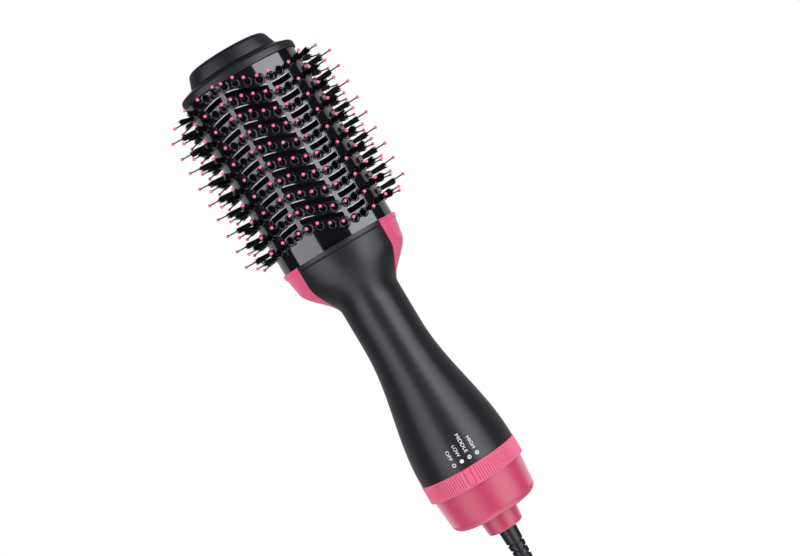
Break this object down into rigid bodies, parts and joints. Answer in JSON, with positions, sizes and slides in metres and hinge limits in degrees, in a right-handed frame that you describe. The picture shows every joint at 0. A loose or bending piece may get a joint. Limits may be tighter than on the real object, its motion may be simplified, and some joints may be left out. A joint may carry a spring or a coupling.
{
  "type": "hot air brush",
  "caption": "Hot air brush with an oval vented barrel, ball-tipped pins, bristle tufts, waisted handle, turning setting ring, fan, heater and swivel cord.",
  "frame": {"origin": "centre of the cord's cut end", "axes": "+Z along the brush axis from the cord to the tip; the settings face -Y; +X is the viewer's right from the front"},
  "size_m": [0.108, 0.0858, 0.3791],
  "materials": {
    "satin_black": "satin",
    "gloss_black": "gloss",
    "nylon_black": "satin",
    "bristle_black": "matte",
    "pink_satin": "satin",
    "pink_gloss": "gloss",
    "rubber_black": "matte",
    "steel": "brushed",
    "brass": "plain",
    "copper": "wound copper",
    "nichrome": "drawn wire",
    "magnet": "sintered",
    "mica": "flaky",
    "board_green": "lacquer",
    "switch_plastic": "matte",
    "white_plastic": "matte"
  },
  "bodies": {
    "handle": {"handle_front_shell": "satin_black", "handle_back_shell": "satin_black", "neck_wing_left": "pink_satin", "neck_wing_right": "pink_satin", "barrel_shell": "gloss_black", "barrel_collar": "satin_black", "barrel_spine": "satin_black", "tip_ring": "satin_black", "tip_cap": "satin_black", "tip_screws": "steel", "pin_sockets": "gloss_black", "bristle_pins": "nylon_black", "pin_tips": "pink_gloss", "bristle_tufts": "bristle_black", "end_cup": "pink_satin", "inlet_filter": "steel", "switch_body": "switch_plastic", "contact_brushes": "brass", "motor_cradle": "white_plastic", "motor_can": "steel", "motor_end_cap": "white_plastic", "motor_magnets": "magnet", "motor_bushes": "brass", "rectifier_board": "board_green", "rectifier_diodes": "gloss_black", "heater_leads": "white_plastic", "heater_frame": "mica", "heater_coil": "nichrome", "heater_sleeve": "mica", "thermostat": "steel", "thermal_fuse": "steel"},
    "dial": {"dial_ring": "pink_satin"},
    "lever": {"switch_lever": "white_plastic"},
    "fan": {"motor_shaft": "steel", "rotor_core": "copper", "fan_impeller": "satin_black"},
    "cord": {"cord_boot": "pink_satin", "strain_relief": "rubber_black", "power_cord": "rubber_black", "swivel_clip": "steel", "contact_rings": "brass"}
  },
  "joints": [
    {"name": "dial_turn", "type": "hinge", "parent": "handle", "child": "dial", "pos_m": [0, 0, 0.09925], "axis": [0, 0, 1], "range_deg": [-9.5, 19]},
    {"name": "lever_slide", "type": "slide", "parent": "handle", "child": "lever", "axis": [-1, 0, 0], "range_m": [-0.0037, 0.0073]},
    {"name": "fan_spin", "type": "hinge", "parent": "handle", "child": "fan", "pos_m": [0, 0, 0.127], "axis": [0, 0, 1], "continuous": true},
    {"name": "cord_swivel", "type": "hinge", "parent": "handle", "child": "cord", "pos_m": [0, 0, 0.075], "axis": [0, 0, 1], "continuous": true}
  ],
  "couplings": [
    {"joint": "lever_slide", "follows": "dial_turn", "m_per_rad": 0.0215}
  ]
}
